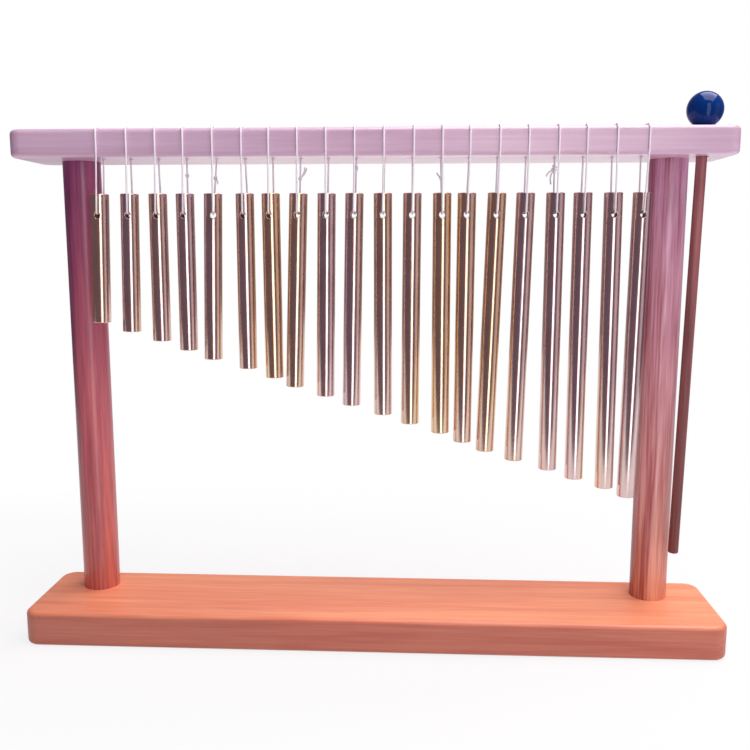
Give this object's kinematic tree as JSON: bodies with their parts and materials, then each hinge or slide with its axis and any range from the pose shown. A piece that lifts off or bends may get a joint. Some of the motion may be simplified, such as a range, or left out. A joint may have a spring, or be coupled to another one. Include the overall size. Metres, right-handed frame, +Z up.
{
  "type": "mark tree",
  "caption": "Tabletop mark tree: graduated hollow brass tubes hang on cords from a wooden beam on two posts and a base board, with a ball-headed mallet through the beam.",
  "frame": {"origin": "middle of the base board's underside", "axes": "+Z up, +X along the row from the short tubes to the long ones, the tubes hang towards -Y, the front"},
  "size_m": [0.377, 0.0612, 0.2924],
  "materials": {
    "base_wood": "clear satin lacquer on fine straight grain",
    "beam_wood": "clear gloss lacquer on fine straight grain",
    "left_post_wood": "clear satin lacquer, darker heartwood",
    "right_post_wood": "clear satin lacquer with strong upright grain",
    "tube_brass": "polished",
    "cord": "fine twisted white cord",
    "stick_wood": "waxed dowel",
    "ball_lacquer": "high gloss blue",
    "screw_steel": "zinc plated"
  },
  "bodies": {
    "stand": {"base_board": "base_wood", "left_post": "left_post_wood", "right_post": "right_post_wood", "top_beam": "beam_wood", "base_screw_left": "screw_steel", "base_screw_right": "screw_steel", "beam_screw_left": "screw_steel", "beam_screw_right": "screw_steel"},
    "cord_01": {"cord_01": "cord"},
    "tube_01": {"tube_01": "tube_brass"},
    "cord_02": {"cord_02": "cord"},
    "tube_02": {"tube_02": "tube_brass"},
    "cord_03": {"cord_03": "cord"},
    "tube_03": {"tube_03": "tube_brass"},
    "cord_04": {"cord_04": "cord"},
    "tube_04": {"tube_04": "tube_brass"},
    "cord_05": {"cord_05": "cord"},
    "tube_05": {"tube_05": "tube_brass"},
    "cord_06": {"cord_06": "cord"},
    "tube_06": {"tube_06": "tube_brass"},
    "cord_07": {"cord_07": "cord"},
    "tube_07": {"tube_07": "tube_brass"},
    "cord_08": {"cord_08": "cord"},
    "tube_08": {"tube_08": "tube_brass"},
    "cord_09": {"cord_09": "cord"},
    "tube_09": {"tube_09": "tube_brass"},
    "cord_10": {"cord_10": "cord"},
    "tube_10": {"tube_10": "tube_brass"},
    "cord_11": {"cord_11": "cord"},
    "tube_11": {"tube_11": "tube_brass"},
    "cord_12": {"cord_12": "cord"},
    "tube_12": {"tube_12": "tube_brass"},
    "cord_13": {"cord_13": "cord"},
    "tube_13": {"tube_13": "tube_brass"},
    "cord_14": {"cord_14": "cord"},
    "tube_14": {"tube_14": "tube_brass"},
    "cord_15": {"cord_15": "cord"},
    "tube_15": {"tube_15": "tube_brass"},
    "cord_16": {"cord_16": "cord"},
    "tube_16": {"tube_16": "tube_brass"},
    "cord_17": {"cord_17": "cord"},
    "tube_17": {"tube_17": "tube_brass"},
    "cord_18": {"cord_18": "cord"},
    "tube_18": {"tube_18": "tube_brass"},
    "cord_19": {"cord_19": "cord"},
    "tube_19": {"tube_19": "tube_brass"},
    "cord_20": {"cord_20": "cord"},
    "tube_20": {"tube_20": "tube_brass"},
    "mallet": {"mallet_stick": "stick_wood", "mallet_head": "ball_lacquer"}
  },
  "joints": [
    {"name": "cord_01_swing", "type": "hinge", "parent": "stand", "child": "cord_01", "pos_m": [-0.14165, -0.01085, 0.2602], "axis": [1, 0, 0], "range_deg": [-30, 30], "deforming": ["cord_01"]},
    {"name": "tube_01_tilt", "type": "hinge", "parent": "cord_01", "child": "tube_01", "pos_m": [-0.14216, -0.0107, 0.2309], "axis": [0, -1, 0], "range_deg": [-0.45, 6.4]},
    {"name": "cord_02_swing", "type": "hinge", "parent": "stand", "child": "cord_02", "pos_m": [-0.12708, -0.01085, 0.2602], "axis": [1, 0, 0], "range_deg": [-30, 30], "deforming": ["cord_02"]},
    {"name": "tube_02_tilt", "type": "hinge", "parent": "cord_02", "child": "tube_02", "pos_m": [-0.12632, -0.0107, 0.2309], "axis": [0.0523, -0.9986, 0], "range_deg": [-6.4, 5.8]},
    {"name": "cord_03_swing", "type": "hinge", "parent": "stand", "child": "cord_03", "pos_m": [-0.11226, -0.01085, 0.2602], "axis": [1, 0, 0], "range_deg": [-30, 30], "deforming": ["cord_03"]},
    {"name": "tube_03_tilt", "type": "hinge", "parent": "cord_03", "child": "tube_03", "pos_m": [-0.11124, -0.0107, 0.2309], "axis": [0, -1, 0], "range_deg": [-5.8, 3.85]},
    {"name": "cord_04_swing", "type": "hinge", "parent": "stand", "child": "cord_04", "pos_m": [-0.09718, -0.01085, 0.2602], "axis": [1, 0, 0], "range_deg": [-30, 30], "deforming": ["cord_04"]},
    {"name": "tube_04_tilt", "type": "hinge", "parent": "cord_04", "child": "tube_04", "pos_m": [-0.09693, -0.0107, 0.2309], "axis": [0, -1, 0], "range_deg": [-3.85, 2.65]},
    {"name": "cord_05_swing", "type": "hinge", "parent": "stand", "child": "cord_05", "pos_m": [-0.08134, -0.01085, 0.2602], "axis": [1, 0, 0], "range_deg": [-30, 30], "deforming": ["cord_05"]},
    {"name": "tube_05_tilt", "type": "hinge", "parent": "cord_05", "child": "tube_05", "pos_m": [-0.08236, -0.0107, 0.2309], "axis": [0.2079, -0.9781, 0], "range_deg": [-2.65, 6.55]},
    {"name": "cord_06_swing", "type": "hinge", "parent": "stand", "child": "cord_06", "pos_m": [-0.06627, -0.01085, 0.2602], "axis": [1, 0, 0], "range_deg": [-30, 30], "deforming": ["cord_06"]},
    {"name": "tube_06_tilt", "type": "hinge", "parent": "cord_06", "child": "tube_06", "pos_m": [-0.0655, -0.0107, 0.2309], "axis": [-0.0872, -0.9962, 0], "range_deg": [-6.55, 2.9]},
    {"name": "cord_07_swing", "type": "hinge", "parent": "stand", "child": "cord_07", "pos_m": [-0.05169, -0.01085, 0.2602], "axis": [1, 0, 0], "range_deg": [-30, 30], "deforming": ["cord_07"]},
    {"name": "tube_07_tilt", "type": "hinge", "parent": "cord_07", "child": "tube_07", "pos_m": [-0.05195, -0.0107, 0.2309], "axis": [-0.1045, -0.9945, 0], "range_deg": [-2.9, 0.65]},
    {"name": "cord_08_swing", "type": "hinge", "parent": "stand", "child": "cord_08", "pos_m": [-0.03712, -0.01085, 0.2602], "axis": [1, 0, 0], "range_deg": [-30, 30], "deforming": ["cord_08"]},
    {"name": "tube_08_tilt", "type": "hinge", "parent": "cord_08", "child": "tube_08", "pos_m": [-0.03789, -0.0107, 0.2309], "axis": [0, -1, 0], "range_deg": [-0.65, 4.1]},
    {"name": "cord_09_swing", "type": "hinge", "parent": "stand", "child": "cord_09", "pos_m": [-0.02255, -0.01085, 0.2602], "axis": [1, 0, 0], "range_deg": [-30, 30], "deforming": ["cord_09"]},
    {"name": "tube_09_tilt", "type": "hinge", "parent": "cord_09", "child": "tube_09", "pos_m": [-0.02306, -0.0107, 0.2309], "axis": [0, -1, 0], "range_deg": [-4.1, 2.4]},
    {"name": "cord_10_swing", "type": "hinge", "parent": "stand", "child": "cord_10", "pos_m": [-0.00799, -0.01085, 0.2602], "axis": [1, 0, 0], "range_deg": [-30, 30], "deforming": ["cord_10"]},
    {"name": "tube_10_tilt", "type": "hinge", "parent": "cord_10", "child": "tube_10", "pos_m": [-0.00874, -0.0107, 0.2309], "axis": [0, -1, 0], "range_deg": [-2.4, 3.95]},
    {"name": "cord_11_swing", "type": "hinge", "parent": "stand", "child": "cord_11", "pos_m": [0.00658, -0.01085, 0.2602], "axis": [1, 0, 0], "range_deg": [-30, 30], "deforming": ["cord_11"]},
    {"name": "tube_11_tilt", "type": "hinge", "parent": "cord_11", "child": "tube_11", "pos_m": [0.00608, -0.0107, 0.2309], "axis": [0, -1, 0], "range_deg": [-3.95, 2.4]},
    {"name": "cord_12_swing", "type": "hinge", "parent": "stand", "child": "cord_12", "pos_m": [0.02116, -0.01085, 0.2602], "axis": [1, 0, 0], "range_deg": [-30, 30], "deforming": ["cord_12"]},
    {"name": "tube_12_tilt", "type": "hinge", "parent": "cord_12", "child": "tube_12", "pos_m": [0.02116, -0.0107, 0.2309], "axis": [0, -1, 0], "range_deg": [-2.4, 3.2]},
    {"name": "cord_13_swing", "type": "hinge", "parent": "stand", "child": "cord_13", "pos_m": [0.03572, -0.01085, 0.2602], "axis": [1, 0, 0], "range_deg": [-30, 30], "deforming": ["cord_13"]},
    {"name": "tube_13_tilt", "type": "hinge", "parent": "cord_13", "child": "tube_13", "pos_m": [0.03649, -0.0107, 0.2309], "axis": [0, -1, 0], "range_deg": [-3.2, 0.95]},
    {"name": "cord_14_swing", "type": "hinge", "parent": "stand", "child": "cord_14", "pos_m": [0.05029, -0.01085, 0.2602], "axis": [1, 0, 0], "range_deg": [-30, 30], "deforming": ["cord_14"]},
    {"name": "tube_14_tilt", "type": "hinge", "parent": "cord_14", "child": "tube_14", "pos_m": [0.04903, -0.0107, 0.2309], "axis": [0, -1, 0], "range_deg": [-0.95, 1.05]},
    {"name": "cord_15_swing", "type": "hinge", "parent": "stand", "child": "cord_15", "pos_m": [0.06487, -0.01085, 0.2602], "axis": [1, 0, 0], "range_deg": [-30, 30], "deforming": ["cord_15"]},
    {"name": "tube_15_tilt", "type": "hinge", "parent": "cord_15", "child": "tube_15", "pos_m": [0.0641, -0.0107, 0.2309], "axis": [0, -1, 0], "range_deg": [-1.05, 2.55]},
    {"name": "cord_16_swing", "type": "hinge", "parent": "stand", "child": "cord_16", "pos_m": [0.07944, -0.01085, 0.2602], "axis": [1, 0, 0], "range_deg": [-30, 30], "deforming": ["cord_16"]},
    {"name": "tube_16_tilt", "type": "hinge", "parent": "cord_16", "child": "tube_16", "pos_m": [0.07867, -0.0107, 0.2309], "axis": [0, -1, 0], "range_deg": [-2.55, 3.65]},
    {"name": "cord_17_swing", "type": "hinge", "parent": "stand", "child": "cord_17", "pos_m": [0.09401, -0.01085, 0.2602], "axis": [1, 0, 0], "range_deg": [-30, 30], "deforming": ["cord_17"]},
    {"name": "tube_17_tilt", "type": "hinge", "parent": "cord_17", "child": "tube_17", "pos_m": [0.09401, -0.0107, 0.2309], "axis": [0, -1, 0], "range_deg": [-3.65, 1.75]},
    {"name": "cord_18_swing", "type": "hinge", "parent": "stand", "child": "cord_18", "pos_m": [0.10858, -0.01085, 0.2602], "axis": [1, 0, 0], "range_deg": [-30, 30], "deforming": ["cord_18"]},
    {"name": "tube_18_tilt", "type": "hinge", "parent": "cord_18", "child": "tube_18", "pos_m": [0.10781, -0.0107, 0.2309], "axis": [0, -1, 0], "range_deg": [-1.75, 2.55]},
    {"name": "cord_19_swing", "type": "hinge", "parent": "stand", "child": "cord_19", "pos_m": [0.12315, -0.01085, 0.2602], "axis": [1, 0, 0], "range_deg": [-30, 30], "deforming": ["cord_19"]},
    {"name": "tube_19_tilt", "type": "hinge", "parent": "cord_19", "child": "tube_19", "pos_m": [0.12315, -0.0107, 0.2309], "axis": [0, -1, 0], "range_deg": [-2.55, 0.75]},
    {"name": "cord_20_swing", "type": "hinge", "parent": "stand", "child": "cord_20", "pos_m": [0.13772, -0.01085, 0.2602], "axis": [1, 0, 0], "range_deg": [-30, 30], "deforming": ["cord_20"]},
    {"name": "tube_20_tilt", "type": "hinge", "parent": "cord_20", "child": "tube_20", "pos_m": [0.13746, -0.0107, 0.2309], "axis": [0, -1, 0], "range_deg": [-0.75, 1.9]},
    {"name": "mallet_lift", "type": "slide", "parent": "stand", "child": "mallet", "axis": [0.0175, 0, 0.9998], "range_m": [0, 0.235]}
  ]
}
